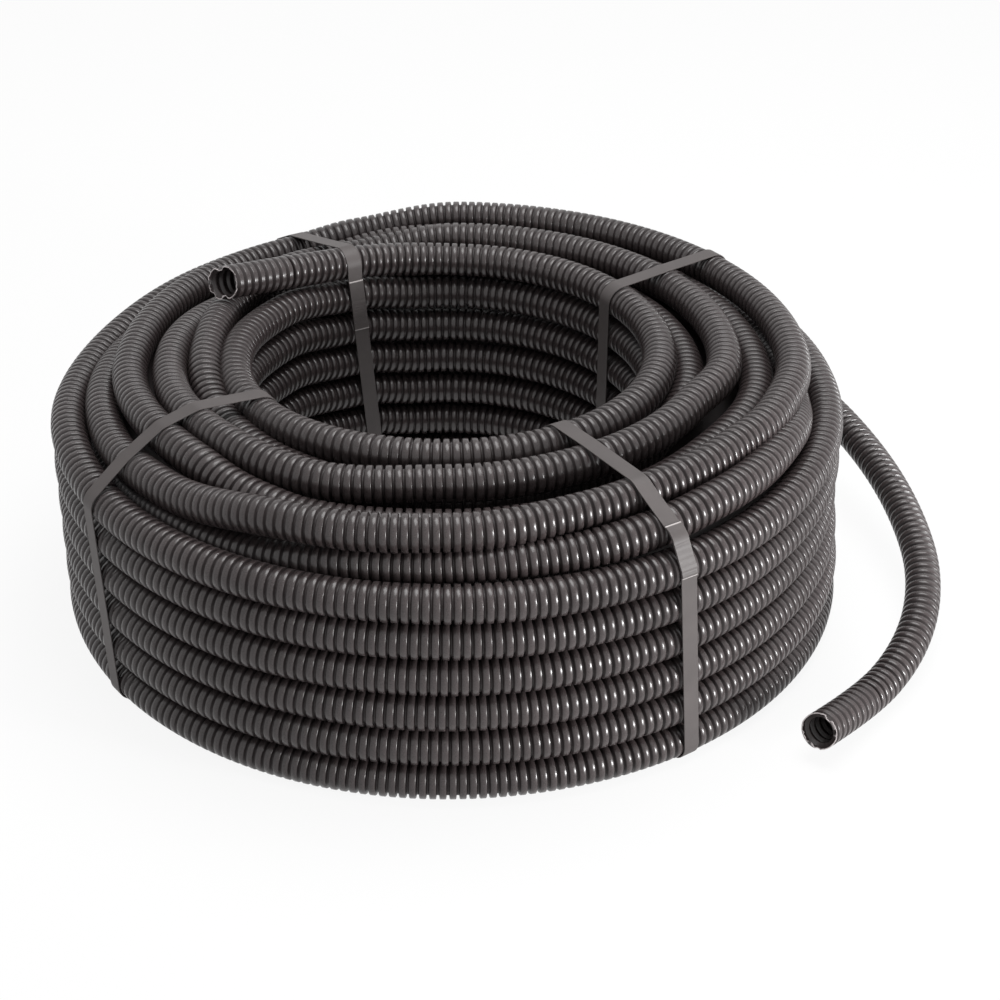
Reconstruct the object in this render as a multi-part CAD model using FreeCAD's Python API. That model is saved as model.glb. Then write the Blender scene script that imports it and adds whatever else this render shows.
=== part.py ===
import FreeCAD, Part
import math
import os

# Coil of corrugated plastic conduit lying flat, bound by four plastic straps.
# Millimetres. The coil's axis is Z, the floor is z = 0, and the viewer of the
# photograph stands on the -Y side.

# The conduit
CONDUIT_OD = 25.0          # over the ribs
CONDUIT_BORE = 18.3        # clear way through
CONDUIT_WALL = 0.7         # plastic wall, at ribs and grooves alike
RIB_PITCH = 6.25           # one rib and one groove
GROOVE_WIDTH = 1.9         # gap between two ribs

# The winding: columns of turns, counted from the eye outwards
EYE_DIAMETER = 277.6       # clear hole in the middle of the coil
COLUMN_GAPS = (20.6, 24.8, 23.2, 25.1, 24.7)   # radial steps between columns
HIGH_TURNS = 7             # turns in the columns that stand on the straps
LOW_TURNS = 6              # turns in the columns that nest between them
OUTER_TURNS = 6            # turns in the outermost column
TURN_PITCH = 28.4          # turn to turn, up a column
OUTER_TURN_PITCH = 27.5    # the outermost column is wound tighter

# How the turns show on the sides of the coil, which is modelled as one turned body
CREST_ANGLE = 15.0         # half of the flat that stands for an outer turn's crest, in degrees
VALLEY_DEPTH = 9.0         # from the crests back to the valley between two turns

# The straps
STRAP_WIDTH = 12.0
STRAP_THICKNESS = 0.8
STRAP_CLEARANCE = 0.25     # between a strap and the turns under it
OUTER_LAP_LOW = 155.0      # lowest point of a welded lap on the outer shoulder
INNER_LAP_LOW = 138.0      # lowest point of a welded lap inside the eye
LAP_HEIGHT = 44.0          # how far a lap reaches up from there

# The cut ends
MOUTH_DEPTH = 25.0         # how far the bore is modelled at each cut end
MOUTH_RIBS = 3             # ribs modelled there
CUT_ALLOWANCE = 1.0        # how far a cutter reaches past the skin it cuts

# Loose ends as (azimuth in degrees, distance outwards from a column's middle,
# height), in order from the winding to the cut end. The first point of each
# lies inside the winding.
INNER_END_ROUTE = ((88.0, 0.0, 0.0), (108.0, 2.4, 2.4), (126.0, 3.4, 7.0), (157.6, 25.3, 19.6))
INNER_END_AT_STRAP = 6.2   # how far it lifts the back left strap off the column
OUTER_STUB_ROUTE = (
    (116.0, -1.5, 150.5), (105.0, 8.0, 147.5), (94.0, 21.5, 139.0),
    (83.0, 30.5, 126.0), (72.5, 33.5, 112.0), (62.0, 34.0, 99.5),
)
OUTER_END_ROUTE = (
    (48.3, 37.0, 87.0), (38.9, 45.3, 83.0), (30.0, 52.4, 78.0), (21.1, 58.3, 73.0),
    (12.3, 63.0, 68.0), (3.7, 69.0, 63.0), (-4.8, 76.5, 57.0), (-12.9, 84.2, 51.0),
    (-21.2, 87.4, 44.0), (-28.7, 82.5, 35.0), (-35.5, 73.0, 25.0), (-41.3, 59.1, 13.5),
)

conduit_radius = CONDUIT_OD / 2
coil_lift = STRAP_THICKNESS + STRAP_CLEARANCE
column_radii = [EYE_DIAMETER / 2 + conduit_radius]
for gap in COLUMN_GAPS:
    column_radii.append(column_radii[-1] + gap)

INNER = 0
OUTER = len(column_radii) - 1
CROWN = OUTER - 1          # the high column beside the outermost one


def is_low(column):
    """Every second column inside the crown starts half a turn up and nests."""
    return column != OUTER and column % 2 == 1


def turn_count(column):
    if column == OUTER:
        return OUTER_TURNS
    return LOW_TURNS if is_low(column) else HIGH_TURNS


def turn_height(column, turn):
    """Height of the middle of one turn, counted from the floor up."""
    pitch = OUTER_TURN_PITCH if column == OUTER else TURN_PITCH
    nest = TURN_PITCH / 2 if is_low(column) else 0.0
    return coil_lift + conduit_radius + nest + turn * pitch


def top_height(column):
    return turn_height(column, turn_count(column) - 1)


def polar(azimuth, radius, height):
    """Point of the model at an angle round the coil's axis."""
    a = math.radians(azimuth)
    return FreeCAD.Vector(radius * math.cos(a), radius * math.sin(a), height)


def on_turn(column, height, angle):
    """Point of the half section on a turn's skin, angle from outwards to upwards."""
    a = math.radians(angle)
    return (column_radii[column] + conduit_radius * math.cos(a), height + conduit_radius * math.sin(a))


def wall(column, facing):
    """A column's side, bottom to top: a crest for each turn and a valley between turns."""
    crest = (-CREST_ANGLE, CREST_ANGLE) if facing > 0 else (180,)
    points = []
    for turn in range(turn_count(column)):
        height = turn_height(column, turn)
        if turn > 0:
            middle = (turn_height(column, turn - 1) + height) / 2
            points.append((column_radii[column] + facing * (conduit_radius - VALLEY_DEPTH), middle))
        points += [on_turn(column, height, angle) for angle in crest]
    return points


def valley(column, neighbour):
    """Point of the half section where the top turns of two columns come together."""
    middle = (column_radii[column] + column_radii[neighbour]) / 2
    return (middle, (top_height(column) + top_height(neighbour)) / 2)


def coil_section():
    """Half section of the winding, with the turns showing on all four sides."""
    points = [on_turn(column, turn_height(column, 0), -90) for column in range(OUTER + 1)]
    points.append(on_turn(OUTER, turn_height(OUTER, 0), -45))
    points += wall(OUTER, 1)
    points += [on_turn(OUTER, top_height(OUTER), angle) for angle in (45, 90, 135)]
    points += [on_turn(CROWN, top_height(CROWN), angle) for angle in (0, 45, 90)]
    for column in range(CROWN - 1, INNER - 1, -1):
        points += [valley(column, column + 1), on_turn(column, top_height(column), 90)]
    points.append(on_turn(INNER, top_height(INNER), 135))
    points += wall(INNER, -1)[::-1]
    points.append(on_turn(INNER, turn_height(INNER, 0), 225))
    return points


def rounded_route(p):
    """Straight runs joined by arcs that are as large as the shorter run allows."""
    edges, radii, start = [], [], p[0]
    for before, corner, after in zip(p, p[1:], p[2:]):
        back, ahead = before - corner, after - corner
        tangent_length = 0.45 * min(back.Length, ahead.Length)
        half_turn = (math.pi - back.getAngle(ahead)) / 2
        radius = tangent_length / math.tan(half_turn)
        radii.append(radius)
        back.normalize()
        ahead.normalize()
        a, b = corner + back * tangent_length, corner + ahead * tangent_length
        inwards = back + ahead
        inwards.normalize()
        middle = corner + inwards * (radius / math.cos(half_turn) - radius)
        edges.append(Part.LineSegment(start, a).toShape())
        edges.append(Part.Arc(a, middle, b).toShape())
        start = b
    edges.append(Part.LineSegment(start, p[-1]).toShape())
    return Part.Wire(edges), radii


def conduit_along(points, name):
    """Plain round conduit along a route."""
    path, radii = rounded_route(points)
    ring = Part.Wire(Part.makeCircle(conduit_radius, points[0], points[1] - points[0]))
    tube = path.makePipeShell([ring], True, False)
    share = tube.Volume / (math.pi * conduit_radius ** 2 * path.Length)
    print(name, "length", round(path.Length, 1), "radii", [round(r) for r in radii],
          "volume over section x length", round(share, 4))
    return tube


def mouth_cuts(points):
    """The bore and the grooves between the ribs at a cut end."""
    end = points[-1]
    inwards = points[-2] - end
    inwards.normalize()
    cuts = [Part.makeCylinder(CONDUIT_BORE / 2, MOUTH_DEPTH)]
    groove_floor = Part.makeCylinder(CONDUIT_BORE / 2 + CONDUIT_WALL, GROOVE_WIDTH)
    groove = Part.makeCylinder(conduit_radius + CUT_ALLOWANCE, GROOVE_WIDTH).cut(groove_floor)
    for rib in range(MOUTH_RIBS):
        ring = groove.copy()
        ring.translate(FreeCAD.Vector(0, 0, (rib + 1) * RIB_PITCH - GROOVE_WIDTH))
        cuts.append(ring)
    turn = FreeCAD.Placement(end, FreeCAD.Rotation(FreeCAD.Vector(0, 0, 1), inwards))
    return [cut.transformed(turn.toMatrix()) for cut in cuts]


def inner_end_points():
    """The inner end climbs off the top turn, under the back left strap, and outwards."""
    return [polar(azimuth, column_radii[INNER] + outwards, top_height(INNER) + rise)
            for azimuth, outwards, rise in INNER_END_ROUTE]


def outer_points(route):
    return [polar(azimuth, column_radii[OUTER] + outwards, height) for azimuth, outwards, height in route]


def outer_exit():
    """Where the loose outer end leaves its stub, halfway along a straight run."""
    return (outer_points(OUTER_STUB_ROUTE)[-1] + outer_points(OUTER_END_ROUTE)[0]) / 2


def conduit_coil():
    """One turned solid, with the stubs of its two ends where they leave the winding."""
    corners = [FreeCAD.Vector(r, 0, z) for r, z in coil_section()]
    section = Part.Face(Part.makePolygon(corners + corners[:1]))
    winding = section.revolve(FreeCAD.Vector(0, 0, 0), FreeCAD.Vector(0, 0, 1), 360)
    outer_stub = conduit_along(outer_points(OUTER_STUB_ROUTE) + [outer_exit()], "outer stub")
    inner_end = conduit_along(inner_end_points(), "inner end")
    return winding.fuse([outer_stub, inner_end]).cut(mouth_cuts(inner_end_points()))


def conduit_outer_end():
    """The loose outer end, from the stub on the winding to its cut end on the floor."""
    points = [outer_exit()] + outer_points(OUTER_END_ROUTE)
    return conduit_along(points, "outer end").cut(mouth_cuts(points))


def belt_layer(lift, inside, outside):
    """The band between two distances from the five turns that a strap is pulled round."""
    corners = [(INNER, turn_height(INNER, 0)), (OUTER, turn_height(OUTER, 0)), (OUTER, top_height(OUTER)),
               (CROWN, top_height(CROWN)), (INNER, top_height(INNER) + lift)]
    middles = [FreeCAD.Vector(column_radii[column], 0, height) for column, height in corners]
    core = Part.Face(Part.makePolygon(middles + middles[:1]))
    return core.makeOffset2D(outside).cut(core.makeOffset2D(inside))


def strap(azimuth, lap_is_outside, lift=0.0):
    """A closed flat strap, with its welded lap as a second thickness."""
    inside = conduit_radius + STRAP_CLEARANCE
    outside = inside + STRAP_THICKNESS
    across = FreeCAD.Vector(0, STRAP_WIDTH, 0)
    band = belt_layer(lift, inside, outside).extrude(across)
    lap = belt_layer(lift, inside + STRAP_THICKNESS / 2, outside + STRAP_THICKNESS).extrude(across)
    if lap_is_outside:
        low, near = OUTER_LAP_LOW, column_radii[CROWN] + conduit_radius / 2
    else:
        low, near = INNER_LAP_LOW, column_radii[INNER] - 2 * CONDUIT_OD
    window = Part.makeBox(2 * CONDUIT_OD, STRAP_WIDTH, LAP_HEIGHT, FreeCAD.Vector(near, 0, low))
    solid = band.fuse(lap.common(window)).removeSplitter()
    solid.translate(FreeCAD.Vector(0, -STRAP_WIDTH / 2, 0))
    solid.rotate(FreeCAD.Vector(0, 0, 0), FreeCAD.Vector(0, 0, 1), azimuth)
    return solid


nodes = {
    "conduit_coil": conduit_coil(),
    "conduit_outer_end": conduit_outer_end(),
    "strap_front_right": strap(-59, True),
    "strap_front_left": strap(-144, False),
    "strap_back_left": strap(120, False, INNER_END_AT_STRAP),
    "strap_back_right": strap(32, True),
}

wound = sum(turn_count(c) * 2 * math.pi * column_radii[c] for c in range(OUTER + 1))
print("turns", sum(turn_count(c) for c in range(OUTER + 1)), "wound length m", round(wound / 1000, 1))

os.makedirs("parts", exist_ok=True)
for name, shape in nodes.items():
    solid = shape.Solids[0] if len(shape.Solids) == 1 else shape
    print(name, "solids", len(shape.Solids), "valid", solid.isValid(), "volume", round(solid.Volume))
    solid.exportStep("parts/" + name + ".step")
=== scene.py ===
# %% [markdown]
# # A coil of corrugated conduit
# The object is a long plastic hose with ribs, wound into a flat coil and tied with
# four straps. This lesson dresses the construction model, in which the winding is
# one plain turned body: it keeps that model's sizes and gives the coil its single
# turns, ribs, cut ends and plastic. The construction model is loaded first.

# %% Load the construction model
import bpy
import bmesh
import math
import random
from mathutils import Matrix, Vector


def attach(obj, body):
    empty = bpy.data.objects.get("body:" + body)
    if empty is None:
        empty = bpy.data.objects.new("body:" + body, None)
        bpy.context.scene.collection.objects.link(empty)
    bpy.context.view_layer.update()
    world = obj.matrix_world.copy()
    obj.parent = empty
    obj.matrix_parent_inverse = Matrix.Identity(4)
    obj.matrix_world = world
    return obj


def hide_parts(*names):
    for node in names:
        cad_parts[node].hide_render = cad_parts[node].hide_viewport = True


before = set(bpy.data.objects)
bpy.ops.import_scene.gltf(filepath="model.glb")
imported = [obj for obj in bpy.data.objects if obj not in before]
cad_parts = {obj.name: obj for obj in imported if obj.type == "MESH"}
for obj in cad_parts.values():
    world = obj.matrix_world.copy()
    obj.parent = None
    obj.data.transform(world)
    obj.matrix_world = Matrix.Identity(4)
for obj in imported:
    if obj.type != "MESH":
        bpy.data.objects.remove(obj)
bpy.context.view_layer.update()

MM = 0.001

# %% [markdown]
# ## The camera
# The coil was photographed from the front and from above, with a long lens. It
# sits a little off the middle of the picture, so the lens is shifted a little,
# and the camera is not turned sideways.

# %% Camera
CAMERA_PLACE = (3.5, -1239.9, 828.3)     # mm from the middle of the coil
CAMERA_PITCH = 31.02                     # degrees below the horizon
LENS = 70.41                             # mm, on a 36 mm sensor
LENS_SHIFT = (0.0482, -0.0299)           # share of the picture's width

camera_data = bpy.data.cameras.new("camera")
camera_data.sensor_width = 36.0
camera_data.lens = LENS
camera_data.shift_x, camera_data.shift_y = LENS_SHIFT
camera_data.clip_start, camera_data.clip_end = 0.05, 50.0
camera = bpy.data.objects.new("camera", camera_data)
camera.location = [c * MM for c in CAMERA_PLACE]
camera.rotation_euler = (math.radians(90 - CAMERA_PITCH), 0, 0)
bpy.context.scene.collection.objects.link(camera)
bpy.context.scene.camera = camera
print("camera looks down by", CAMERA_PITCH, "degrees")

# %% [markdown]
# ## The sizes of the coil
# The conduit lies in columns of touching turns, counted from the eye outwards.
# Every second column starts half a turn higher, so that it nests between its
# neighbours. These are the same sizes as in the construction model, in
# millimetres, and most later steps work their places out from them.

# %% Sizes and columns
CONDUIT_OD = 25.0
CONDUIT_BORE = 18.3
CONDUIT_WALL = 0.7
RIB_PITCH = 6.25
EYE_DIAMETER = 277.6
COLUMN_GAPS = (20.6, 24.8, 23.2, 25.1, 24.7)
COIL_LIFT = 1.05                         # the turns stand on the straps under them
TURN_PITCH = 28.4
OUTER_TURN_PITCH = 27.5

conduit_radius = CONDUIT_OD / 2
groove_radius = CONDUIT_BORE / 2 + CONDUIT_WALL
column_radii = [EYE_DIAMETER / 2 + conduit_radius]
for gap in COLUMN_GAPS:
    column_radii.append(column_radii[-1] + gap)
A, B, C, D, E, F = range(6)
LOW_COLUMNS = (B, D)
TURNS = {A: 7, B: 6, C: 7, D: 6, E: 7, F: 6}


def turn_height(column, turn):
    """Height of the middle of a turn, counted from the floor."""
    pitch = OUTER_TURN_PITCH if column == F else TURN_PITCH
    nest = TURN_PITCH / 2 if column in LOW_COLUMNS else 0
    return COIL_LIFT + conduit_radius + nest + turn * pitch


def top_height(column):
    return turn_height(column, TURNS[column] - 1)


def polar(azimuth, radius, height):
    """Point in metres at an angle in degrees round the coil's axis."""
    a = math.radians(azimuth)
    return Vector((radius * math.cos(a), radius * math.sin(a), height)) * MM


print("column radii", [round(r, 1) for r in column_radii])

# %% [markdown]
# ## A machine for corrugated tube
# Everything black on this object is one conduit: the same rib, repeated every
# 6.25 mm along a path. That could be modelled rib by rib, but Geometry Nodes do
# it better: the path is cut into six rings a rib, each ring gets the radius of
# its place on the rib, and a circle is swept along. Each turn is seen from one
# side only, so the circle's points are crowded towards that side. Two
# attributes travel with the mesh for the material: how high a point stands on
# its rib, and which side of the tube it is on.

# %% The tree that makes corrugated tube
RING_PLACES = (0.0, 0.25, 0.29, 0.35, 0.88, 0.955)   # along one rib pitch, groove first
CREST, SHOULDER = conduit_radius, conduit_radius - 0.45
RING_RADII = (groove_radius, groove_radius, SHOULDER, CREST, CREST, SHOULDER)
RING_HEIGHTS = tuple((r - groove_radius) / (CREST - groove_radius) for r in RING_RADII)


def add_node(tree, kind, **settings):
    node = tree.nodes.new(kind)
    for name, value in settings.items():
        setattr(node, name, value)
    return node


def plug(tree, value, socket):
    """Links a socket, or writes a plain number or colour into it."""
    if isinstance(value, bpy.types.NodeSocket):
        tree.links.new(value, socket)
    elif value is not None:
        socket.default_value = value


def add_maths(tree, operation, first, second=None):
    """A Math node whose inputs are sockets or plain numbers."""
    node = add_node(tree, "ShaderNodeMath", operation=operation)
    plug(tree, first, node.inputs[0])
    plug(tree, second, node.inputs[1])
    return node.outputs[0]


def ring_switch(tree, place, values):
    """Picks one of six values by a ring's place on its rib."""
    switch = add_node(tree, "GeometryNodeIndexSwitch", data_type="FLOAT")
    while len(switch.index_switch_items) < len(values):
        switch.index_switch_items.new()
    tree.links.new(place, switch.inputs["Index"])
    for number, value in enumerate(values):
        switch.inputs[number + 1].default_value = value
    return switch.outputs[0]


def keep_attribute(tree, geometry, name, kind, value):
    store = add_node(tree, "GeometryNodeStoreNamedAttribute", data_type=kind, domain="POINT")
    tree.links.new(geometry, store.inputs["Geometry"])
    store.inputs["Name"].default_value = name
    tree.links.new(value, store.inputs["Value"])
    return store.outputs[0]


def corrugated_tube_tree():
    tree = bpy.data.node_groups.new("corrugated_tube", "GeometryNodeTree")
    tree.interface.new_socket("Path", in_out="INPUT", socket_type="NodeSocketGeometry")
    for name, kind in (("Rib Pitch", "Float"), ("Points Around", "Int"), ("Crowding", "Float"),
                       ("Seen Side", "Float"), ("Left Off", "Float"), ("Material", "Material")):
        tree.interface.new_socket(name, in_out="INPUT", socket_type="NodeSocket" + kind)
    tree.interface.new_socket("Tube", in_out="OUTPUT", socket_type="NodeSocketGeometry")
    link = tree.links.new
    given = add_node(tree, "NodeGroupInput").outputs
    rings = len(RING_PLACES)

    whole = add_node(tree, "GeometryNodeCurveLength")
    link(given["Path"], whole.inputs[0])
    length = add_maths(tree, "SUBTRACT", whole.outputs[0], given["Left Off"])
    trim = add_node(tree, "GeometryNodeTrimCurve", mode="LENGTH")
    link(given["Path"], trim.inputs["Curve"])
    plug(tree, length, [s for s in trim.inputs if s.name == "End" and s.enabled][-1])
    ribs = add_maths(tree, "ROUND", add_maths(tree, "DIVIDE", length, given["Rib Pitch"]))
    count = add_maths(tree, "ADD", add_maths(tree, "MULTIPLY", ribs, rings), 1)
    resample = add_node(tree, "GeometryNodeResampleCurve", mode="COUNT")
    link(trim.outputs[0], resample.inputs["Curve"])
    link(count, resample.inputs["Count"])

    index = add_node(tree, "GeometryNodeInputIndex").outputs[0]
    place = add_maths(tree, "FLOORED_MODULO", index, rings)
    shifts = [share - number / rings for number, share in enumerate(RING_PLACES)]
    step = add_maths(tree, "DIVIDE", length, ribs)
    shift = add_maths(tree, "MULTIPLY", ring_switch(tree, place, shifts), step)
    tangent = add_node(tree, "GeometryNodeInputTangent").outputs[0]
    along = add_node(tree, "ShaderNodeVectorMath", operation="SCALE")
    link(tangent, along.inputs[0])
    link(shift, along.inputs["Scale"])
    moved = add_node(tree, "GeometryNodeSetPosition")
    link(resample.outputs[0], moved.inputs["Geometry"])
    link(along.outputs[0], moved.inputs["Offset"])

    upright = add_node(tree, "GeometryNodeSetCurveNormal", mode="Z_UP")
    link(moved.outputs[0], upright.inputs["Curve"])
    rail = keep_attribute(tree, upright.outputs[0], "crest", "FLOAT", ring_switch(tree, place, RING_HEIGHTS))

    circle = add_node(tree, "GeometryNodeCurvePrimitiveCircle", mode="RADIUS")
    link(given["Points Around"], circle.inputs["Resolution"])
    circle.inputs["Radius"].default_value = 1.0
    turn = add_maths(tree, "MULTIPLY", add_maths(tree, "DIVIDE", index, given["Points Around"]), math.tau)
    crowded = add_maths(tree, "SUBTRACT", turn,
                        add_maths(tree, "MULTIPLY", add_maths(tree, "SINE", turn), given["Crowding"]))
    angle = add_maths(tree, "ADD", crowded, given["Seen Side"])
    on_circle = add_node(tree, "ShaderNodeCombineXYZ")
    link(add_maths(tree, "COSINE", angle), on_circle.inputs[0])
    link(add_maths(tree, "SINE", angle), on_circle.inputs[1])
    profile = add_node(tree, "GeometryNodeSetPosition")
    link(circle.outputs[0], profile.inputs["Geometry"])
    link(on_circle.outputs[0], profile.inputs["Position"])
    ring = keep_attribute(tree, profile.outputs[0], "side", "FLOAT_VECTOR", on_circle.outputs[0])

    sweep = add_node(tree, "GeometryNodeCurveToMesh")
    link(rail, sweep.inputs["Curve"])
    link(ring, sweep.inputs["Profile Curve"])
    link(ring_switch(tree, place, [r * MM for r in RING_RADII]), sweep.inputs["Scale"])
    sweep.inputs["Fill Caps"].default_value = True
    realize = add_node(tree, "GeometryNodeRealizeInstances")
    link(sweep.outputs[0], realize.inputs[0])
    finish = add_node(tree, "GeometryNodeSetMaterial")
    link(realize.outputs[0], finish.inputs[0])
    link(given["Material"], finish.inputs["Material"])
    link(finish.outputs[0], add_node(tree, "NodeGroupOutput").inputs[0])
    return tree


tube_tree = corrugated_tube_tree()
print("tube tree has", len(tube_tree.nodes), "nodes")

# %% [markdown]
# ## Running the tree
# A path is a smooth NURBS spline that follows the places where the conduit lies. Its
# order is set after its points, because set before it would fall back to
# straight runs. The tree's result is turned into a plain mesh, so that nothing
# live is left on a finished piece.

# %% Path and tube helpers


def put(name, data):
    piece = bpy.data.objects.new(name, data)
    bpy.context.scene.collection.objects.link(piece)
    return piece


def smooth_curve(name, points):
    curve = bpy.data.curves.new(name, "CURVE")
    curve.dimensions = "3D"
    spline = curve.splines.new("NURBS")
    spline.points.add(len(points) - 1)
    for target, point in zip(spline.points, points):
        target.co = (*point, 1.0)
    spline.order_u = 3
    spline.use_endpoint_u = True
    return curve


def line_of(name, points):
    """The smooth line itself, as the points of its unbevelled curve."""
    holder = put(name + "_line", smooth_curve(name + "_line", points))
    mesh = bpy.data.meshes.new_from_object(holder)
    line = [v.co.copy() for v in mesh.vertices]
    bpy.data.objects.remove(holder)
    bpy.data.meshes.remove(mesh)
    return line


def length_of(line):
    return sum((b - a).length for a, b in zip(line, line[1:]))


def corrugated_tube(name, points, around=16, crowding=0.4, seen_side=0.0, left_off=0.0):
    """A mesh of ribbed conduit along the points; seen_side turns its dense side, in degrees."""
    holder = put(name + "_path", smooth_curve(name + "_path", points))
    modifier = holder.modifiers.new("tube", "NODES")
    modifier.node_group = tube_tree
    inputs = {"Rib Pitch": RIB_PITCH * MM, "Points Around": around, "Crowding": crowding,
              "Seen Side": math.radians(seen_side), "Left Off": left_off, "Material": conduit_material}
    for item in tube_tree.interface.items_tree:
        if item.name in inputs:
            modifier[item.identifier] = inputs[item.name]
    graph = bpy.context.evaluated_depsgraph_get()
    mesh = bpy.data.meshes.new_from_object(holder.evaluated_get(graph))
    bpy.data.objects.remove(holder)
    mesh.name = name
    mesh.shade_smooth()
    return mesh


def triangles_in(mesh):
    return sum(len(p.vertices) - 2 for p in mesh.polygons)


# %% [markdown]
# ## The black plastic
# The conduit is extruded and its ribs are blown into moulds, so it has a satin
# skin with a fine grain, a faint moulding line along its top and its bottom,
# and grooves that stay dull. The grooves are also coloured a little darker than
# the ribs, as painted shade. Painting it one flat black would hide all that. The
# colour, gloss and bump are driven by the two attributes of the tube tree and by
# fine noise. A third attribute marks the torn rim of the cut ends, where the
# plastic is stretched and looks pale.

# %% Conduit material


def new_material(name):
    material = bpy.data.materials.new(name)
    material.use_nodes = True
    return material, material.node_tree, material.node_tree.nodes["Principled BSDF"]


def add_noise(tree, scale, detail=2.0, vector=None):
    """Noise from -1 to 1 on Object coordinates, or on a given vector."""
    noise_node = add_node(tree, "ShaderNodeTexNoise")
    noise_node.inputs["Scale"].default_value = scale
    noise_node.inputs["Detail"].default_value = detail
    if vector is None:
        vector = add_node(tree, "ShaderNodeTexCoord").outputs["Object"]
    tree.links.new(vector, noise_node.inputs["Vector"])
    return add_maths(tree, "SUBTRACT", add_maths(tree, "MULTIPLY", noise_node.outputs["Fac"], 2.0), 1.0)


def read_attribute(tree, name, output="Fac"):
    return add_node(tree, "ShaderNodeAttribute", attribute_name=name).outputs[output]


def blend_colours(tree, share, first, second):
    mix = add_node(tree, "ShaderNodeMix", data_type="RGBA")
    plug(tree, share, mix.inputs["Factor"])
    plug(tree, first, [s for s in mix.inputs if s.name == "A" and s.type == "RGBA"][0])
    plug(tree, second, [s for s in mix.inputs if s.name == "B" and s.type == "RGBA"][0])
    return [s for s in mix.outputs if s.type == "RGBA"][0]


def ramp_between(tree, value, low, high):
    """0 below low, 1 above high, smooth between."""
    node = add_node(tree, "ShaderNodeMapRange", interpolation_type="SMOOTHSTEP")
    plug(tree, value, node.inputs["Value"])
    node.inputs["From Min"].default_value = low
    node.inputs["From Max"].default_value = high
    return node.outputs["Result"]


# the groove colour is painted shade: the grooves are coloured darker than the ribs
PAINTED_GROOVE_SHADE = (0.030, 0.023, 0.023, 1)
RIB_COLOUR = (0.033, 0.0258, 0.0258, 1)
RUBBED_COLOUR = (0.058, 0.046, 0.046, 1)
TORN_COLOUR = (0.55, 0.50, 0.50, 1)
GRAIN_SCALE, CLOUD_SCALE = 1500.0, 9.0         # per metre
# the painted groove shade fades out between these two heights on a rib
GROOVE_SHADE_FADES, GROOVE_SHADE_GONE = 0.4, 0.95         # height on a rib, as the attribute gives it
RUBBED_FROM = 0.86
DULL, CREST_POLISH, GRAIN_ROUGHNESS = 0.55, -0.27, 0.05
GRAIN_RELIEF, SEAM_RELIEF, RELIEF_DEPTH = 0.5, -2.5, 0.06
SEAM_EDGE, SEAM_MIDDLE = 0.985, 0.996          # how squarely a point must face up or down


def make_conduit_material():
    material, tree, shader = new_material("black_conduit_plastic")
    crest = read_attribute(tree, "crest")
    grain = add_noise(tree, GRAIN_SCALE)
    clouds = add_noise(tree, CLOUD_SCALE, 4.0)
    facing = add_node(tree, "ShaderNodeSeparateXYZ")
    tree.links.new(read_attribute(tree, "side", "Vector"), facing.inputs[0])
    seam = ramp_between(tree, add_maths(tree, "ABSOLUTE", facing.outputs[1]), SEAM_EDGE, SEAM_MIDDLE)
    rubbed = add_maths(tree, "MULTIPLY", ramp_between(tree, crest, RUBBED_FROM, 1.0),
                       ramp_between(tree, add_maths(tree, "ADD", clouds, grain), -0.5, 0.9))
    # painted shade: the darker groove colour, fading out towards the rib tops
    past_groove_shade = ramp_between(tree, crest, GROOVE_SHADE_FADES, GROOVE_SHADE_GONE)
    base = blend_colours(tree, past_groove_shade, PAINTED_GROOVE_SHADE, RIB_COLOUR)
    base = blend_colours(tree, rubbed, base, RUBBED_COLOUR)
    base = blend_colours(tree, read_attribute(tree, "cut"), base, TORN_COLOUR)
    tree.links.new(base, shader.inputs["Base Color"])
    gloss = add_maths(tree, "ADD", add_maths(tree, "MULTIPLY", crest, CREST_POLISH), DULL)
    gloss = add_maths(tree, "ADD", gloss, add_maths(tree, "MULTIPLY", grain, GRAIN_ROUGHNESS))
    tree.links.new(gloss, shader.inputs["Roughness"])
    height = add_maths(tree, "ADD", add_maths(tree, "MULTIPLY", grain, GRAIN_RELIEF),
                       add_maths(tree, "MULTIPLY", seam, SEAM_RELIEF))
    bump = add_node(tree, "ShaderNodeBump")
    bump.inputs["Strength"].default_value = 0.35
    bump.inputs["Distance"].default_value = RELIEF_DEPTH * MM
    tree.links.new(height, bump.inputs["Height"])
    tree.links.new(bump.outputs[0], shader.inputs["Normal"])
    return material


conduit_material = make_conduit_material()
print("conduit material has", len(conduit_material.node_tree.nodes), "nodes")

# %% [markdown]
# ## Cut ends
# Both ends were cut with a knife, a little askew, right through the ribs. The
# thin wall shows as a pale torn rim, and the ribs show again inside the bore.
# Cutting a closed tube with a plane would leave loose slivers where the plane
# grazes a rib. Instead each row of points is walked up to the cut and held
# there, outside and inside, and the two skins are joined by the rim.

# %% Cut end helpers
MOUTH_RIBS = 10
MOUTH_STEPS = 12                         # rows of points a rib
MOUTH_SIDES = 56
BORE_START = 2.0                         # mm from the back of the piece to the end of the bore
CUT_TEETH = ((5, 0.3), (9, 0.2), (17, 0.14), (26, 0.12))   # waves round the rim, mm


def rib_radius(share):
    """Radius at a place along one rib pitch."""
    places = RING_PLACES + (1.0,)
    radii = RING_RADII + (groove_radius,)
    share = share % 1.0
    for a, b, radius_a, radius_b in zip(places, places[1:], radii, radii[1:]):
        if share <= b:
            return radius_a + (radius_b - radius_a) * eased((share - a) / (b - a))
    return groove_radius


def eased(share):
    share = min(max(share, 0.0), 1.0)
    return share * share * (3 - 2 * share)


def along_line(line, distance):
    """Point and direction at a distance along a line of points."""
    for a, b in zip(line, line[1:]):
        run = (b - a).length
        if distance <= run:
            return a + (b - a) * (distance / run), (b - a).normalized()
        distance -= run
    return line[-1] + (line[-1] - line[-2]).normalized() * distance, (line[-1] - line[-2]).normalized()


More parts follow.
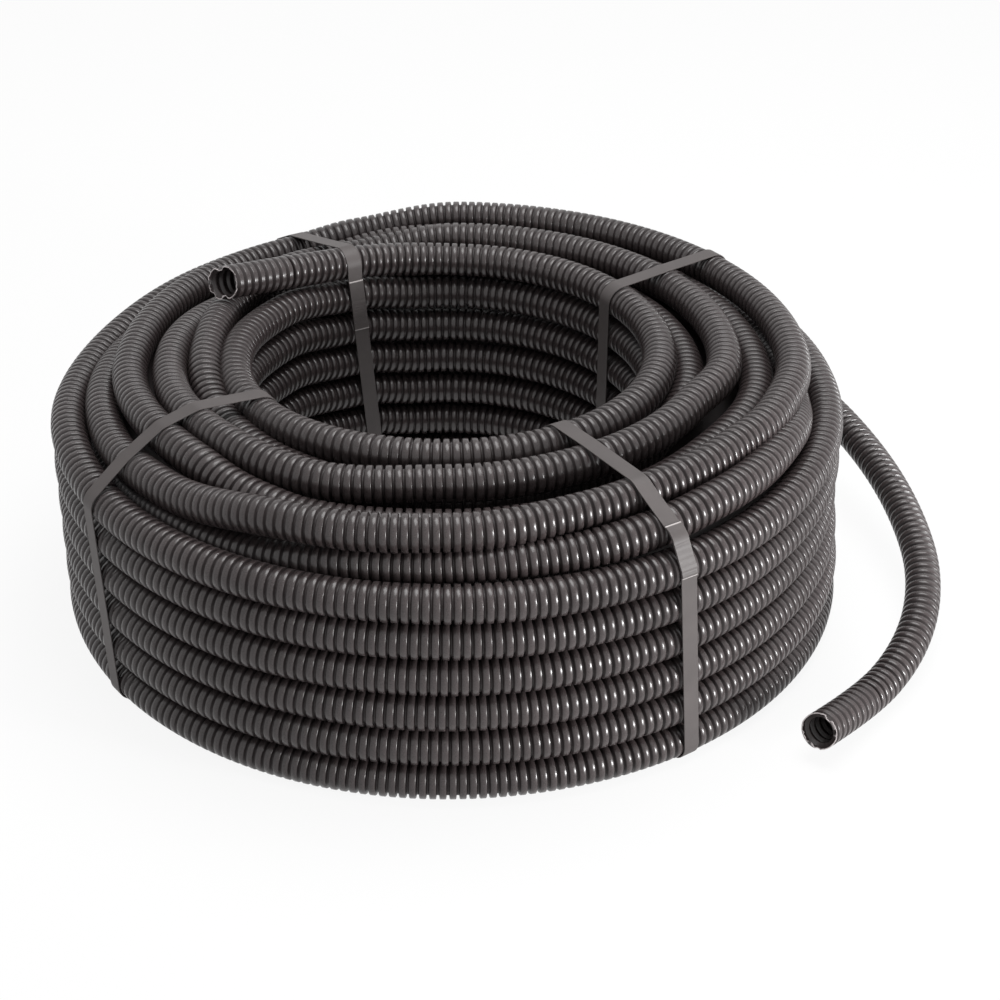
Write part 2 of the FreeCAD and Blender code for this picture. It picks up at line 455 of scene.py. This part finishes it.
def cut_mouth(name, line, slant, lowest, nicks, seed):
    """The last ribs of a conduit, hollow and cut askew; lowest is the side cut deepest, in degrees."""
    dice = random.Random(seed)
    phases = [dice.uniform(0, math.tau) for _ in CUT_TEETH]
    start = length_of(line) / MM - MOUTH_RIBS * RIB_PITCH
    full = MOUTH_RIBS * RIB_PITCH

    def cut_at(angle):
        place = full - slant * (1 + math.cos(angle - math.radians(lowest))) / 2
        for (waves, size), phase in zip(CUT_TEETH, phases):
            place += size * math.sin(waves * angle + phase)
        for where, width, depth in nicks:
            off = (angle - math.radians(where) + math.pi) % math.tau - math.pi
            place -= depth * math.exp(-(off / math.radians(width)) ** 2)
        return place

    mesh = bmesh.new()
    crest = mesh.verts.layers.float.new("crest")
    torn = mesh.verts.layers.float.new("cut")
    side = mesh.verts.layers.float_vector.new("side")

    def row(number, wall):
        ring = []
        for count in range(MOUTH_SIDES):
            angle = math.tau * count / MOUTH_SIDES
            reach = cut_at(angle)
            here = min(number * RIB_PITCH / MOUTH_STEPS, reach)
            here = max(here, BORE_START if wall else 0.0)
            radius = rib_radius(here / RIB_PITCH) - wall
            middle, ahead = along_line(line, (start + here) * MM)
            across = ahead.cross(Vector((0, 0, 1))).normalized()
            up = across.cross(ahead)
            point = middle + (across * math.cos(angle) + up * math.sin(angle)) * radius * MM
            vertex = mesh.verts.new(point)
            vertex[crest] = (radius + wall - groove_radius) / (CREST - groove_radius)
            vertex[side] = (math.cos(angle), math.sin(angle), 0)
            vertex[torn] = 1.0 if here >= reach else 0.0
            ring.append(vertex)
        return ring

    rows = MOUTH_RIBS * MOUTH_STEPS + 1
    rings = [row(number, 0.0) for number in range(rows)]
    rings += [row(number, CONDUIT_WALL) for number in range(rows - 1, 0, -1)]
    for ring, follow in zip(rings, rings[1:]):
        for count in range(MOUTH_SIDES):
            other = (count + 1) % MOUTH_SIDES
            mesh.faces.new((ring[count], ring[other], follow[other], follow[count]))
    mesh.faces.new(rings[0][::-1])
    mesh.faces.new(rings[-1])
    bmesh.ops.remove_doubles(mesh, verts=mesh.verts, dist=0.01 * MM)
    bmesh.ops.recalc_face_normals(mesh, faces=mesh.faces)
    for face in mesh.faces:
        face.smooth = True
    data = bpy.data.meshes.new(name)
    mesh.to_mesh(data)
    mesh.free()
    data.materials.append(conduit_material)
    return data


def joined(name, meshes):
    """One mesh of several, with their attributes."""
    pieces = [put(name + "_" + str(number), mesh) for number, mesh in enumerate(meshes)]
    with bpy.context.temp_override(active_object=pieces[0], selected_editable_objects=pieces,
                                   selected_objects=pieces, object=pieces[0]):
        bpy.ops.object.join()
    pieces[0].name = name
    pieces[0].data.name = name
    return pieces[0]


# %% [markdown]
# ## The loose outer end
# The conduit leaves the top of the winding behind the coil, drops outwards,
# swings out to the right and comes down to the floor in front, where its cut end
# lifts a little. It is a free hose. Its line is a few millimetres lower than the
# construction model's, after the photograph.

# %% Outer end
OUTER_STUB_ROUTE = (
    (116.0, -1.5, 150.5), (105.0, 8.0, 147.5), (94.0, 21.5, 139.0),
    (83.0, 30.5, 126.0), (72.5, 33.5, 112.0), (62.0, 34.0, 99.5),
)
OUTER_END_ROUTE = (
    (48.3, 37.0, 87.0), (38.8, 44.8, 81.0), (29.9, 52.2, 74.0), (21.6, 58.0, 67.0),
    (13.4, 63.0, 59.5), (5.5, 69.0, 52.0), (-2.4, 75.5, 43.5), (-9.8, 81.5, 35.5),
    (-17.7, 83.0, 28.0), (-25.3, 79.5, 20.0), (-33.6, 71.5, 14.5), (-44.3, 67.9, 25.0),
)
MOUTH_LENGTH = MOUTH_RIBS * RIB_PITCH * MM


def outer_points(route):
    return [polar(azimuth, column_radii[F] + outwards, height) for azimuth, outwards, height in route]


stub_points = outer_points(OUTER_STUB_ROUTE)
end_points = outer_points(OUTER_END_ROUTE)
outer_exit = (stub_points[-1] + end_points[0]) / 2
end_line = line_of("outer_end", [outer_exit] + end_points)
outer_tube = corrugated_tube("outer_tube", [outer_exit] + end_points, around=24, crowding=0,
                             left_off=MOUTH_LENGTH)
# slant in mm, side cut deepest in degrees, nicks as (side, width in degrees, depth in mm)
OUTER_CUT = (4.5, 130, ((35, 12, 0.6), (262, 6, 1.6)))
outer_mouth = cut_mouth("outer_mouth", end_line, *OUTER_CUT, seed=4)
outer_end = joined("outer_end", (outer_tube, outer_mouth))
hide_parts("conduit_outer_end")
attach(outer_end, "root")
print("outer end is", round(length_of(end_line) / MM), "mm long,", triangles_in(outer_end.data), "triangles")

# %% [markdown]
# ## The courses of the turns
# The winding is not a stack of level rings. The conduit goes round clockwise,
# seen from above, and climbs or sinks to the next layer somewhere on its way,
# so the top turns cross, sink between their neighbours and ride up on them. A
# course says where the conduit runs: its distance from the axis and its height
# at a few angles, with smooth changes between them. The angle keeps falling
# from turn to turn. The heights and shifts at the front, the sides and in the
# eye are read from the photograph, and the hidden stretches are plain. Where
# turns cross, their skins run into each other by a few millimetres.

# %% Courses
CLIMB_START, CLIMB_END = 95.0, 40.0      # where an outer turn climbs to the next, behind the coil
TURN = 360.0


def between_keys(keys, azimuth):
    """Smooth value at an angle, from (angle, value) keys with falling angles."""
    if azimuth >= keys[0][0]:
        return keys[0][1]
    for (a, value_a), (b, value_b) in zip(keys, keys[1:]):
        if azimuth >= b:
            return value_a + (value_b - value_a) * eased((a - azimuth) / (a - b))
    return keys[-1][1]


def climbing(column, turns):
    """Height keys of turns that change level each time they pass the back."""
    keys = []
    for number, turn in enumerate(turns):
        keys.append((CLIMB_END - TURN * number, turn_height(column, turn)))
        keys.append((CLIMB_START - TURN * (number + 1), turn_height(column, turn)))
    return keys


def later(turns, keys):
    """The same keys, some whole turns further on."""
    return tuple((azimuth - TURN * turns, value) for azimuth, value in keys)


def beside(column, keys):
    """Distances from the axis, given as shifts from a column's middle."""
    return tuple((azimuth, column_radii[column] + shift) for azimuth, shift in keys)


# an inner turn sinks by one layer along the left of the eye: (angle, share of the pitch)
INNER_DESCENT = ((-110, 0.0), (-180, 0.3), (-215, 0.47), (-240, 0.76), (-262, 1.0))
top = {column: top_height(column) for column in TURNS}
crown_second = turn_height(E, 5)
COURSES = {
    "inner": {
        "span": (84, 170 - TURN * 7),
        "radii": beside(A, later(6, ((-145, 0), (-190, 10)))),
        "heights": ((84, top[A] - 0.5), (-90, 182.8)) + tuple(
            (azimuth - TURN * number, top[A] - TURN_PITCH * (number + sunk)) for number in range(6)
            for azimuth, sunk in INNER_DESCENT)[1:],
    },
    "middle": {
        "span": (150, -240 - TURN),
        "radii": beside(B, ((-15, 0), (-35, -4), (-90, -4), (-125, 0), (-178, 0)))
        + later(1, beside(C, ((120, 0), (-8, 0), (-28, -12), (-60, -13.5), (-90, -12), (-118, 0)))),
        "heights": ((150, top[B] - TURN_PITCH), (95, top[B]), (-15, 168), (-38, 160), (-90, 160),
                    (-125, 167), (-150, top[B]), (-178, 178), (-220, 176))
        + later(1, ((110, 172), (88, 181), (0, 184.5), (-90, 183.8), (-115, 182.5), (-137, 184),
                    (-178, 176), (-240, 155))),
    },
    "crown": {
        "span": (150, -240 - TURN * 2),
        "radii": beside(D, ((-10, 0), (-38, -11), (-90, -10), (-118, 0), (-150, 0), (-180, 6)))
        + later(1, beside(E, ((120, 0), (-6, 0), (-24, -6), (-38, -12.5), (-58, -14), (-70, -12),
                              (-85, -5), (-108, 0))))
        + later(2, beside(E, ((0, 0), (-28, 7), (-45, 9), (-60, 9), (-80, 3), (-95, 0)))),
        "heights": ((150, top[D] - TURN_PITCH), (95, top[D]), (-15, 169), (-38, 167), (-90, 166),
                    (-112, 168), (-125, 172), (-138, 179), (-180, 173))
        + later(1, ((120, 163), (109, 168.5), (88, 178.6), (0, 183), (-30, 184), (-90, 182.8),
                    (-112, 182), (-138, 168), (-160, 160), (-240, 138)))
        + later(2, ((60, 150), (-5, crown_second + 1), (-28, 172), (-48, 174), (-60, 171),
                    (-75, 165), (-96, 160), (-130, 146), (-160, 132), (-240, 110))),
    },
    "outer": {
        "span": (78, -240 - TURN * 5),
        "radii": beside(F, ((78, -10),)) + tuple(
            key for number, bulge in enumerate((7.0, 6.0, 3.0)) for key in
            later(number, beside(F, ((45, 0), (-12, bulge), (-85, 0)))))
        + beside(F, later(5, ((-165, 0), (-200, -5), (-225, -3), (-240, -1.5)))),
        "heights": tuple(climbing(F, range(5)))
        + later(5, ((40, 151), (-90, 150.2), (-140, 148), (-165, 152), (-190, 149), (-240, 151))),
    },
}


def on_course(course, azimuth):
    """Distance from the axis and height of a course at an angle."""
    return between_keys(course["radii"], azimuth), between_keys(course["heights"], azimuth)


STEP = 5.0                               # degrees between two points of a course


def course_points(course, start, end):
    count = max(2, round((start - end) / STEP) + 1)
    azimuths = [start + (end - start) * number / (count - 1) for number in range(count)]
    return [polar(azimuth, *on_course(course, azimuth)) for azimuth in azimuths]


print("courses", {name: course["span"] for name, course in COURSES.items()})

# %% [markdown]
# ## Winding the turns
# Each stretch of a course becomes one piece, short enough to stay light. The
# inner and outer turns show their sides, so their points are crowded there. The
# crossing turns show their tops. Only the first turns of the columns that stand
# on the straps show from below.

# %% Turns
INWARDS, OUTWARDS, UPWARDS, DOWNWARDS = 0.0, 180.0, -90.0, 90.0
INNER_END_ROUTE = ((159.8, 29.3, 20.7), (126.0, 3.4, 7.0), (108.0, 2.4, 2.4), (95.0, 0.4, 0.3))


def finish_turns(name, data):
    piece = data if isinstance(data, bpy.types.Object) else put(name, data)
    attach(piece, "root")
    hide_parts("conduit_coil")
    print(name, "triangles", triangles_in(piece.data))


def add_turns(name, points, **shape):
    finish_turns(name, corrugated_tube(name, points, **shape))


inner, middle, crown, outer = (COURSES[name] for name in ("inner", "middle", "crown", "outer"))
outer_start, outer_finish = outer["span"]
add_turns("outer_turns_low", course_points(outer, outer_start, outer_start - TURN * 2), seen_side=OUTWARDS)
add_turns("outer_turns_middle", course_points(outer, outer_start - TURN * 2, outer_start - TURN * 4),
          seen_side=OUTWARDS)
add_turns("outer_turns_top",
          course_points(outer, outer_start - TURN * 4, outer_finish) + stub_points[1:] + [outer_exit],
          around=18, crowding=0.3, seen_side=OUTWARDS - 45)
add_turns("crown_turns", course_points(crown, *crown["span"]), seen_side=UPWARDS, around=18)
add_turns("middle_turns", course_points(middle, *middle["span"]), seen_side=UPWARDS, around=18)

inner_start, inner_finish = inner["span"]
inner_end = [polar(azimuth, column_radii[A] + out, top[A] + rise) for azimuth, out, rise in INNER_END_ROUTE]
inner_route = inner_end[::-1]
first_turn = course_points(inner, inner_start, inner_start - TURN)[::-1]
top_line = line_of("inner_top", first_turn + inner_route)
top_tube = corrugated_tube("inner_top_tube", first_turn + inner_route, around=20, crowding=0.25,
                           seen_side=180 + 45, left_off=MOUTH_LENGTH)
INNER_CUT = (11.0, 158, ((300, 8, 1.8), (60, 12, 1.0)))
inner_mouth = cut_mouth("inner_mouth", top_line, *INNER_CUT, seed=9)
finish_turns("inner_turn_top", joined("inner_turn_top", (top_tube, inner_mouth)))
add_turns("inner_turns_middle", course_points(inner, inner_start - TURN, inner_start - TURN * 4),
          seen_side=INWARDS)
add_turns("inner_turns_low", course_points(inner, inner_start - TURN * 4, inner_finish), seen_side=INWARDS,
          around=14)
for column in (C, E):
    level = {"radii": ((0, column_radii[column]),), "heights": ((0, turn_height(column, 0)),)}
    add_turns("bottom_turn_" + "abcdef"[column], course_points(level, 120, -240),
              around=8, crowding=0.2, seen_side=DOWNWARDS)

# %% [markdown]
# ## The dark middle
# Between the turns nothing shows but darkness. A plain turned body fills the
# middle, just behind the turns that can be seen, so that no light passes through.
# It reaches down behind the lowest turns, so that no floor shows between them.

# %% Dark middle
CORE_SIDES = 96
CORE_GAP = 5.0                           # behind the middle of the outer and inner turns
CORE_TOP, CORE_FOOT = 138.0, 12.0


def lathe(name, outline, sides):
    """A closed ring-shaped body turned from an outline of (radius, height) corners, in mm."""
    vertices, faces = [], []
    corners = len(outline)
    for side in range(sides):
        vertices += [polar(360 * side / sides, radius, height) for radius, height in outline]
    for side in range(sides):
        for corner in range(corners):
            here, there = side * corners, ((side + 1) % sides) * corners
            follow = (corner + 1) % corners
            faces.append((here + corner, there + corner, there + follow, here + follow))
    mesh = bpy.data.meshes.new(name)
    mesh.from_pydata(vertices, [], faces)
    return mesh


core_in, core_out = column_radii[A] + CORE_GAP, column_radii[F] - CORE_GAP
core_low = turn_height(B, 0)
core_outline = ((core_in, CORE_FOOT), (column_radii[B], core_low), (column_radii[E], core_low),
                (core_out, CORE_FOOT), (core_out, CORE_TOP), (core_in, CORE_TOP))
core_mesh = lathe("dark_middle", core_outline, CORE_SIDES)
core_mesh.materials.append(conduit_material)
finish_turns("dark_middle", core_mesh)

# %% [markdown]
# ## The straps
# Four flat bands of grey plastic are pulled tight round the winding, and each
# is welded to itself where its ends lap. A pulled band touches only the turns
# that stand furthest out, so its line is worked out and not drawn: for every
# direction round the loop, the turn that reaches furthest that way carries the
# band. The lap is a second thickness, with the teeth of the welding tool
# pressed into it. In the photograph no strap stands quite square, so each one
# leans a few degrees from its place in the construction model.

# %% Strap line
STRAP_WIDTH = 12.0
STRAP_THICKNESS = 0.8
STRAP_CLEARANCE = 0.25
DIRECTION_STEP = 3                       # degrees
SAMPLE_STEP = 1.0                        # mm along a strap
MOUTH_SEARCH = 60                        # points of the inner end's line, back from its mouth
STRAP_TOP = 180.0                        # height from which a strap has its upper angle
# angles at the top of the eye and of the outside, and at their feet: no strap is quite square
STRAPS = {
    "front_right": (-60.0, -58.5, -57.0, -55.5),
    "front_left": (-148.0, -146.5, -145.5, -143.0),
    "back_left": (120.5, 119.5, 113.5, 118.0),
    "back_right": (32.0, 35.0, 30.5, 34.0),
}


def mixed(first, second, share):
    return first + (second - first) * min(max(share, 0.0), 1.0)


def strap_azimuth(corners, radius, height):
    """Angle of a strap at a distance from the axis and a height."""
    out = (radius - column_radii[A]) / (column_radii[F] - column_radii[A])
    top_angle, foot_angle = mixed(corners[0], corners[1], out), mixed(corners[2], corners[3], out)
    return mixed(foot_angle, top_angle, height / STRAP_TOP)


def turns_at(azimuth):
    """Middles of all turns that a strap at this angle goes round."""
    middles = [(column_radii[column], turn_height(column, 0)) for column in (A, C, E, F)]
    for a, b in zip(top_line[-MOUTH_SEARCH:], top_line[-MOUTH_SEARCH + 1:]):
        angle_a, angle_b = (math.degrees(math.atan2(p.y, p.x)) for p in (a, b))
        if angle_a <= azimuth <= angle_b:
            middles.append((math.hypot(b.x, b.y) / MM, b.z / MM))
    for course in COURSES.values():
        start, end = course["span"]
        here = azimuth + TURN * math.floor((start - azimuth) / TURN)
        while here >= end:
            middles.append(on_course(course, here))
            here -= TURN
    return middles


def strap_line(corners, bulge):
    """The loop as (middle of the turn, direction outwards), closely sampled, from the outer side up."""
    middles = [middle for azimuth in corners[:2] for middle in turns_at(azimuth)] + list(bulge)

    def reach(middle, direction):
        return middle[0] * math.cos(direction) + middle[1] * math.sin(direction)

    stations, last = [], None
    for degrees in range(0, 360 + DIRECTION_STEP, DIRECTION_STEP):
        direction = math.radians(degrees)
        carrier = max(middles, key=lambda m: reach(m, direction))
        if last is not None and carrier != last:
            across = math.atan2(last[0] - carrier[0], carrier[1] - last[1])
            stations += [(last, across), (carrier, across)]
        stations.append((carrier, direction))
        last = carrier
    turned = [stations[0]]
    for middle, direction in stations[1:]:
        while direction < turned[-1][1] - math.pi:
            direction += math.tau
        turned.append((middle, direction))
    line = []
    skin = conduit_radius + STRAP_CLEARANCE
    for (a, angle_a), (b, angle_b) in zip(turned, turned[1:]):
        run = math.hypot(b[0] - a[0], b[1] - a[1]) + skin * abs(angle_b - angle_a)
        count = max(1, round(run / SAMPLE_STEP))
        for number in range(count):
            share = number / count
            line.append((a[0] + (b[0] - a[0]) * share, a[1] + (b[1] - a[1]) * share,
                         angle_a + (angle_b - angle_a) * share))
    return line


print("strap samples", {place: len(strap_line(corners, ())) for place, corners in STRAPS.items()})

# %% [markdown]
# The band's section is a flat bar with its edges just broken. It is swept
# through the samples, round the whole loop for the band and along a short
# stretch for the lap. Every point keeps its place along and across the strap
# for the material.

# %% Strap meshes
EDGE = 0.2                               # mm, the broken edges
OUTER_LAP_LOW, INNER_LAP_LOW = 150.0, 138.0
LAP_HEIGHT = 44.0
WELD_START, WELD_LENGTH = 3.0, 26.0      # mm from the lap's lower end
TOOTH_PITCH, TOOTH_DEPTH = 2.6, 0.16
TOOTH_SKEW, TOOTH_WANDER = 0.25, 0.9     # how far a tooth leans, and how fast that changes
SECTION = ((-1, 0, EDGE, 0), (-1, 0, 0, EDGE), (-1, 1, 0, -EDGE), (-1, 1, EDGE, 0),
           (1, 1, -EDGE, 0), (1, 1, 0, -EDGE), (1, 0, 0, EDGE), (1, 0, -EDGE, 0))


def sweep_band(mesh, corners, samples, lift, closed, teeth):
    """Adds a bar along the samples to a bmesh; lift is its height over the turns' skin."""
    along = mesh.verts.layers.float.get("along") or mesh.verts.layers.float.new("along")
    across = mesh.verts.layers.float.get("across") or mesh.verts.layers.float.new("across")
    torn = mesh.verts.layers.float.get("cut") or mesh.verts.layers.float.new("cut")
    rings = []
    for number, (radius, height, direction) in enumerate(samples):
        distance = number * SAMPLE_STEP
        azimuth = strap_azimuth(corners, radius, height)
        a = math.radians(azimuth)
        sideways = Vector((-math.sin(a), math.cos(a), 0))
        ring = []
        for side, layer, inset, rise in SECTION:
            offset = conduit_radius + lift + layer * STRAP_THICKNESS + rise
            if layer and WELD_START < distance < WELD_START + WELD_LENGTH and teeth:
                slope = TOOTH_SKEW * math.sin(distance * TOOTH_WANDER)
                wave = math.sin(math.tau * distance / TOOTH_PITCH + side * slope)
                offset -= TOOTH_DEPTH * (0.5 + 0.5 * wave)
            point = polar(azimuth, radius + offset * math.cos(direction),
                          height + offset * math.sin(direction))
            vertex = mesh.verts.new(point + sideways * (side * STRAP_WIDTH / 2 + inset) * MM)
            vertex[along] = distance * MM
            vertex[across] = (side * STRAP_WIDTH / 2 + inset) * MM
            vertex[torn] = 1.0 if not closed and number in (0, len(samples) - 1) else 0.0
            ring.append(vertex)
        rings.append(ring)
    pairs = list(zip(rings, rings[1:])) + ([(rings[-1], rings[0])] if closed else [])
    for ring, follow in pairs:
        for count in range(len(SECTION)):
            other = (count + 1) % len(SECTION)
            mesh.faces.new((ring[count], ring[other], follow[other], follow[count]))
    if not closed:
        mesh.faces.new(rings[0][::-1])
        mesh.faces.new(rings[-1])


def add_strap(place, outside, bulge=()):
    corners = STRAPS[place]
    samples = strap_line(corners, bulge)
    skin = conduit_radius + STRAP_CLEARANCE
    heights = [height + skin * math.sin(direction) for radius, height, direction in samples]
    low = OUTER_LAP_LOW if outside else INNER_LAP_LOW
    facing = 1 if outside else -1
    lap = [s for s, height in zip(samples, heights)
           if height > low and facing * math.cos(s[2]) > 0]
    if not outside:
        lap = lap[::-1]
    lap = lap[:round(LAP_HEIGHT / SAMPLE_STEP)]
    mesh = bmesh.new()
    sweep_band(mesh, corners, samples, STRAP_CLEARANCE, True, False)
    sweep_band(mesh, corners, lap, STRAP_CLEARANCE + STRAP_THICKNESS, False, True)
    bmesh.ops.recalc_face_normals(mesh, faces=mesh.faces)
    data = bpy.data.meshes.new("band_" + place)
    mesh.to_mesh(data)
    mesh.free()
    data.materials.append(strap_material)
    piece = put("band_" + place, data)
    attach(piece, "root")
    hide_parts("strap_" + place)
    print(piece.name, "triangles", triangles_in(data), "lap samples", len(lap))


# %% [markdown]
# ## The band's plastic
# The straps are grey-brown strapping band. It is rolled with a fine crossed
# grain, its gloss varies a little along its streaks, and its cut ends are pale.

# %% Strap material and straps
BAND_COLOUR = (0.052, 0.044, 0.043, 1)
BAND_WORN_COLOUR = (0.074, 0.063, 0.0615, 1)
BAND_END_COLOUR = (0.62, 0.58, 0.57, 1)
STREAK_SHARE, GRAIN_SHARE = 0.5, 0.4     # of the wear
STREAK_STRETCH = 0.15                    # streaks run along the band
STREAK_SCALE, BAND_GRAIN_SCALE, WEAR_SCALE = 1400.0, 2200.0, 40.0    # per metre
BAND_DULL, STREAK_ROUGHNESS = 0.56, 0.06


def make_strap_material():
    material, tree, shader = new_material("strapping_band")
    place = add_node(tree, "ShaderNodeCombineXYZ")
    stretched = add_maths(tree, "MULTIPLY", read_attribute(tree, "along"), STREAK_STRETCH)
    tree.links.new(stretched, place.inputs[0])
    tree.links.new(read_attribute(tree, "across"), place.inputs[1])
    streaks = add_noise(tree, STREAK_SCALE, 3.0, place.outputs[0])
    grain = add_noise(tree, BAND_GRAIN_SCALE)
    clouds = add_noise(tree, WEAR_SCALE, 3.0)
    wear = add_maths(tree, "ADD", add_maths(tree, "MULTIPLY", streaks, STREAK_SHARE),
                     add_maths(tree, "ADD", add_maths(tree, "MULTIPLY", grain, GRAIN_SHARE), clouds))
    base = blend_colours(tree, ramp_between(tree, wear, -1.0, 1.0), BAND_COLOUR, BAND_WORN_COLOUR)
    base = blend_colours(tree, read_attribute(tree, "cut"), base, BAND_END_COLOUR)
    tree.links.new(base, shader.inputs["Base Color"])
    gloss = add_maths(tree, "ADD", add_maths(tree, "MULTIPLY", streaks, STREAK_ROUGHNESS), BAND_DULL)
    tree.links.new(gloss, shader.inputs["Roughness"])
    bump = add_node(tree, "ShaderNodeBump")
    bump.inputs["Strength"].default_value = 0.3
    bump.inputs["Distance"].default_value = 0.05 * MM
    tree.links.new(add_maths(tree, "ADD", streaks, grain), bump.inputs["Height"])
    tree.links.new(bump.outputs[0], shader.inputs["Normal"])
    return material


strap_material = make_strap_material()
SHOULDER_BULGE = ((263.0, 166.0),)       # a turn that stands out under the front right strap
add_strap("front_right", True, SHOULDER_BULGE)
add_strap("front_left", False)
add_strap("back_left", False)
add_strap("back_right", True)

# %% [markdown]
# ## Floor and light
# The coil was photographed on white paper. The floor and the background answer
# the camera with white, and the floor still takes the coil's soft shadow. A
# wide lamp overhead lights the tops of the turns, and a low box of light at the
# front right puts the small bright mark on every rib.

# %% Floor and light
FLOOR_HALF = 6.0                         # metres
PAPER = (0.9, 0.9, 0.9, 1)
PAPER_WHITE = 0.9                        # share of plain white that the camera sees in the paper
WORLD_STRENGTH = 0.40


def seen_directly(tree):
    """1 for rays from the camera, and for mirror and glass rays."""
    path = add_node(tree, "ShaderNodeLightPath").outputs
    seen = add_maths(tree, "MAXIMUM", path["Is Camera Ray"], path["Is Glossy Ray"])
    return add_maths(tree, "MAXIMUM", seen, path["Is Transmission Ray"])


def make_paper():
    material, tree, shader = new_material("white_paper")
    shader.inputs["Base Color"].default_value = PAPER
    shader.inputs["Roughness"].default_value = 0.9
    shader.inputs["Specular IOR Level"].default_value = 0.0
    glow = add_node(tree, "ShaderNodeEmission")
    mix = add_node(tree, "ShaderNodeMixShader")
    tree.links.new(add_maths(tree, "MULTIPLY", seen_directly(tree), PAPER_WHITE), mix.inputs[0])
    tree.links.new(shader.outputs[0], mix.inputs[1])
    tree.links.new(glow.outputs[0], mix.inputs[2])
    tree.links.new(mix.outputs[0], tree.nodes["Material Output"].inputs["Surface"])
    return material


floor_mesh = bpy.data.meshes.new("floor")
floor_corners = [(x * FLOOR_HALF, y * FLOOR_HALF, 0) for x, y in ((-1, -1), (1, -1), (1, 1), (-1, 1))]
floor_mesh.from_pydata(floor_corners, [], [(0, 1, 2, 3)])
floor_mesh.materials.append(make_paper())
put("floor", floor_mesh)

world = bpy.data.worlds.new("studio")
bpy.context.scene.world = world
world.use_nodes = True
strength = add_maths(world.node_tree, "MULTIPLY", seen_directly(world.node_tree), 1 - WORLD_STRENGTH)
strength = add_maths(world.node_tree, "ADD", strength, WORLD_STRENGTH)
background = world.node_tree.nodes["Background"]
background.inputs[0].default_value = (1, 1, 1, 1)
world.node_tree.links.new(strength, background.inputs[1])


def add_lamp(name, place, target, size, energy):
    lamp = bpy.data.lights.new(name, "AREA")
    lamp.shape = "RECTANGLE"
    lamp.size, lamp.size_y = size
    lamp.energy = energy
    holder = put(name, lamp)
    holder.location = place
    holder.rotation_euler = (Vector(target) - Vector(place)).to_track_quat("-Z", "Y").to_euler()


LAMPS = {                                # place, aim and size in metres, power in watts
    "overhead": ((0.3, 0.2, 1.9), (0, 0, 0.1), (1.4, 1.2), 30),
    "low_right": ((1.6, -0.9, 0.3), (0, -0.1, 0.12), (0.3, 0.4), 38),
}
for name, settings in LAMPS.items():
    add_lamp(name, *settings)
print("floor, world and", len(LAMPS), "lamps are set")

# %% [markdown]
# ## Last setting
# The picture is shown through the Standard view transform.

# %% Finish
bpy.context.scene.view_settings.view_transform = "Standard"
